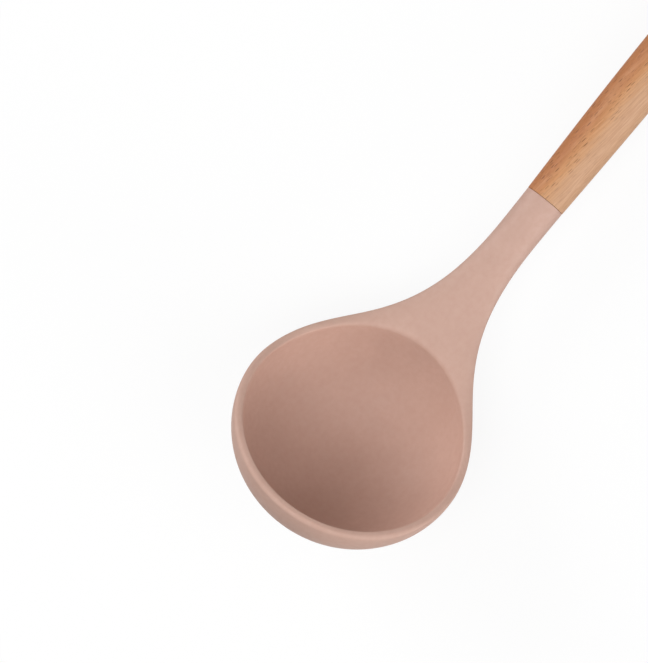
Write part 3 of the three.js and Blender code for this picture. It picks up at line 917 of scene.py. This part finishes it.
def dull_steel(name, mark):
    """Stainless steel whose marks, noise in cells of these millimetres, vary its tone and gloss."""
    material, tree = empty_finish(name)
    position = add(tree, "TexCoord", {})["Object"]
    spot = add(tree, "Mapping", {"Vector": position, "Scale": per_metre(mark)})
    marks = add(tree, "TexNoise", {"Vector": spot["Vector"], "Scale": 1.0})
    colour = add(tree, "Mix", {"Factor_Float": marks["Fac"], "A_Color": linear(STEEL_DARK),
                               "B_Color": linear(STEEL_PALE)}, data_type="RGBA")
    rough = add(tree, "MapRange", {"Value": marks["Fac"], **NOISE_SPAN,
                                   "To Min": STEEL_SMOOTHEST, "To Max": STEEL_ROUGHEST})
    shader = add(tree, "BsdfPrincipled", {"Base Color": colour["Result_Color"], "Metallic": 1.0,
                                          "Roughness": rough["Result"]})
    add(tree, "OutputMaterial", {"Surface": shader["BSDF"]})
    return material


inner_finishes = {
    "bowl_core": dull_steel("pressed_stainless", PRESSED_MARK),
    "tang": dull_steel("drawn_stainless", DRAWN_MARK),
}
print("steel finishes:", ", ".join(finish.name for finish in inner_finishes.values()))

# %% Cured epoxy
EPOXY_STRAW = "#d2bd88"
EPOXY_PALE = "#e0d0a8"
EPOXY_SWIRL = 4.0
EPOXY_DISTORTION = 1.5
EPOXY_SMOOTHEST = 0.22
EPOXY_ROUGHEST = 0.4
EPOXY_IOR = 1.55


def cured_epoxy():
    """Straw coloured glue with the swirls of its mixing, from bent noise."""
    material, tree = empty_finish("cured_epoxy")
    position = add(tree, "TexCoord", {})["Object"]
    swirl = add(tree, "TexNoise", {"Vector": position, "Scale": per_metre(EPOXY_SWIRL),
                                   "Distortion": EPOXY_DISTORTION})
    colour = add(tree, "Mix", {"Factor_Float": swirl["Fac"], "A_Color": linear(EPOXY_STRAW),
                               "B_Color": linear(EPOXY_PALE)}, data_type="RGBA")
    rough = add(tree, "MapRange", {"Value": swirl["Fac"], **NOISE_SPAN,
                                   "To Min": EPOXY_SMOOTHEST, "To Max": EPOXY_ROUGHEST})
    shader = add(tree, "BsdfPrincipled", {"Base Color": colour["Result_Color"], "IOR": EPOXY_IOR,
                                          "Roughness": rough["Result"]})
    add(tree, "OutputMaterial", {"Surface": shader["BSDF"]})
    return material


inner_finishes["tang_adhesive"] = cured_epoxy()
for node, finish in inner_finishes.items():
    frame["nodes"][node].data.materials.clear()
    frame["nodes"][node].data.materials.append(finish)
print("finished inside:", ", ".join(inner_finishes))

# %% [markdown]
# ## Pieces onto the frame
#
# Each new piece stands for its solid and moves with the ladle's one body.

# %% Ride on the frame
new_pieces = (
    (silicone_skin, "silicone_head", "silicone"),
    (beech_grip, "beech_handle", "beech"),
)
for piece, node, slot in new_pieces:
    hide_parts(node)
    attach(piece, "root")

# %% [markdown]
# ## The floor
#
# The ladle lies on a pale floor. To the camera, and in what a shiny or clear surface shows, the floor is
# white: most of that is a glow of strength 1, and the rest is lit white card, which keeps the ladle's
# soft shadow. To all other light it is a dark grey card, so that it doesn't throw too much light up
# under the bowl. The Light Path node tells the two apart. The floor's half side is in metres.

# %% Floor
FLOOR_HALF = 3.0
FLOOR_GREY = "#595958"
FLOOR_GLOW_SHARE = 0.88

floor_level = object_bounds()[0].z
floor_corners = [(-FLOOR_HALF, -FLOOR_HALF, floor_level), (FLOOR_HALF, -FLOOR_HALF, floor_level),
                 (FLOOR_HALF, FLOOR_HALF, floor_level), (-FLOOR_HALF, FLOOR_HALF, floor_level)]
floor_mesh = bpy.data.meshes.new("floor")
floor_mesh.from_pydata(floor_corners, [], [(0, 1, 2, 3)])
floor = bpy.data.objects.new("floor", floor_mesh)
bpy.context.scene.collection.objects.link(floor)


def seen_ray(tree):
    """1 on rays from the camera, and on those that a reflection or a clear piece sends on; else 0."""
    path = add(tree, "LightPath", {})
    shown = add(tree, "Math", {"Value": path["Is Camera Ray"], "Value_001": path["Is Glossy Ray"]},
                operation="MAXIMUM")
    seen = add(tree, "Math", {"Value": shown["Value"], "Value_001": path["Is Transmission Ray"]},
               operation="MAXIMUM")
    return seen["Value"]


def pale_floor():
    """White glow and white card to seen rays, grey card to the others."""
    material, tree = empty_finish("pale_floor")
    seen = seen_ray(tree)
    tone = add(tree, "Mix", {"Factor_Float": seen, "A_Color": linear(FLOOR_GREY),
                             "B_Color": linear(WHITE)}, data_type="RGBA")
    card = add(tree, "BsdfDiffuse", {"Color": tone["Result_Color"]})
    glow = add(tree, "Emission", {"Color": linear(WHITE), "Strength": 1.0})
    glowing = add(tree, "Math", {"Value": seen, "Value_001": FLOOR_GLOW_SHARE}, operation="MULTIPLY")
    surface = add(tree, "MixShader", {"Fac": glowing["Value"], "Shader": card["BSDF"],
                                      "Shader_001": glow["Emission"]})
    add(tree, "OutputMaterial", {"Surface": surface["Shader"]})
    return material


floor_mesh.materials.append(pale_floor())
print(f"floor at {floor_level / MM:.2f} mm")

# %% [markdown]
# ## Light
#
# Soft light comes from four wide panels, as in a light tent: one low on either side of the ladle, one
# high in front of the bowl, and a weaker one halfway up on the right. They are suns with a wide angle, so
# the light is the same all along the ladle, and a weak dome fills in the rest. To the camera and in
# reflections the dome is plain white, like the floor. Each panel has a bearing and a height in degrees
# and a share. The share says how bright the panel makes a white card that faces it, which takes a sun of
# pi times that strength.

# %% World and lamps
DOME_STRENGTH = 0.26
LAMP_SPREAD = math.radians(40)
LAMPS = (
    ("left_panel", 86, 22, 0.48),
    ("right_panel", -90, 4, 0.66),
    ("front_panel", 180, 68, 0.355),
    ("raised_panel", -72, 45, 0.22),
)

world = bpy.data.worlds.new("studio")
world.use_nodes = True
world_tree = world.node_tree
world_tree.nodes.clear()
dome = add(world_tree, "Background", {"Color": linear(WHITE), "Strength": DOME_STRENGTH})
backdrop = add(world_tree, "Background", {"Color": linear(WHITE), "Strength": 1.0})
sky = add(world_tree, "MixShader", {"Fac": seen_ray(world_tree), "Shader": dome["Background"],
                                    "Shader_001": backdrop["Background"]})
add(world_tree, "OutputWorld", {"Surface": sky["Shader"]})
bpy.context.scene.world = world


def direction(azimuth, elevation):
    """Unit vector towards a bearing from +x and a height above the floor, both in radians."""
    level = Vector((math.cos(azimuth), math.sin(azimuth), 0))
    return math.cos(elevation) * level + math.sin(elevation) * Vector((0, 0, 1))


for name, azimuth, elevation, share in LAMPS:
    panel_data = bpy.data.lights.new(name, "SUN")
    panel_data.angle = LAMP_SPREAD
    panel_data.energy = share * math.pi
    panel = bpy.data.objects.new(name, panel_data)
    towards = direction(math.radians(azimuth), math.radians(elevation))
    panel.rotation_euler = towards.to_track_quat("Z", "Y").to_euler()
    bpy.context.scene.collection.objects.link(panel)
bpy.context.scene.view_settings.view_transform = "Standard"
print("lamps:", ", ".join(name for name, *_ in LAMPS))

# %% [markdown]
# ## Camera
#
# The ladle is seen from almost straight above, with its handle running up to the right and out of the
# picture. So the camera looks steeply down at a point near the bowl's left rim, and is rolled until the
# handle leaves through the upper right. Its place is in metres and its lens in millimetres.

# %% Camera
CAMERA_AIM = (-0.0953, 0.0331, 0.025)
CAMERA_DISTANCE = 1.4927
CAMERA_AZIMUTH = math.radians(-72.04)
CAMERA_ELEVATION = math.radians(82.78)
CAMERA_ROLL = math.radians(-69.06)
CAMERA_LENS = 217.2

back = direction(CAMERA_AZIMUTH, CAMERA_ELEVATION)
level_right = direction(CAMERA_AZIMUTH + quarter, 0)
right = math.cos(CAMERA_ROLL) * level_right + math.sin(CAMERA_ROLL) * back.cross(level_right)
camera_data = bpy.data.cameras.new("camera")
camera_data.lens = CAMERA_LENS
camera = bpy.data.objects.new("camera", camera_data)
camera_axes = Matrix((right, back.cross(right), back)).transposed().to_4x4()
camera.matrix_world = Matrix.Translation(Vector(CAMERA_AIM) + CAMERA_DISTANCE * back) @ camera_axes
bpy.context.scene.collection.objects.link(camera)
bpy.context.scene.camera = camera
print("camera at", [round(value, 3) for value in camera.matrix_world.translation])
